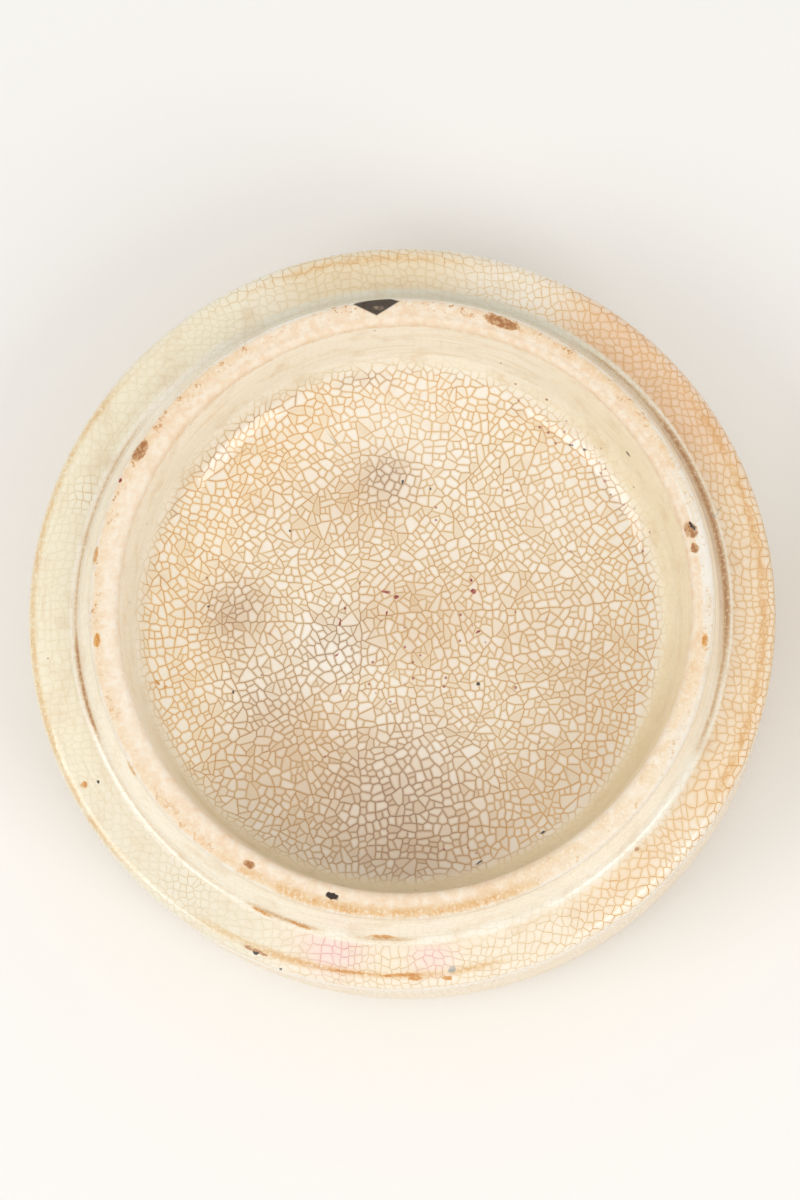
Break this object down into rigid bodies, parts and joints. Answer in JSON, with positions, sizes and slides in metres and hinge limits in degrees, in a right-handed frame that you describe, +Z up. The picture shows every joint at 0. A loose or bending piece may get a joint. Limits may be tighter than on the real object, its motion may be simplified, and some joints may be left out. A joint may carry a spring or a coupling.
{
  "type": "lidded ceramic box",
  "caption": "Round glazed box with a crazed finish: a thick-walled pot with a ledge and an upright bare-rimmed collar, and a lid whose skirt slips over the collar and rests on the ledge.",
  "frame": {"origin": "on the pot's axis, on the surface that the pot stands on", "axes": "+Z up along the pot's axis, +X from the pot to the lid that lies beside it, +Y towards the top of the picture"},
  "size_m": [0.179, 0.084, 0.0286],
  "materials": {
    "pot_glaze": "cream glaze, finely crazed and stained, glossy; worn bare clay on the rim",
    "lid_glaze": "cream glaze, finely crazed and stained, glossy; bare clay on the edge of the skirt"
  },
  "bodies": {
    "pot": {"pot": "pot_glaze"},
    "lid": {"lid": "lid_glaze"}
  },
  "joints": [
    {"name": "lid_turn", "type": "hinge", "parent": "pot", "child": "lid", "pos_m": [0.04775, 0, 0.01685], "axis": [0, -1, 0], "range_deg": [0, 180]}
  ]
}
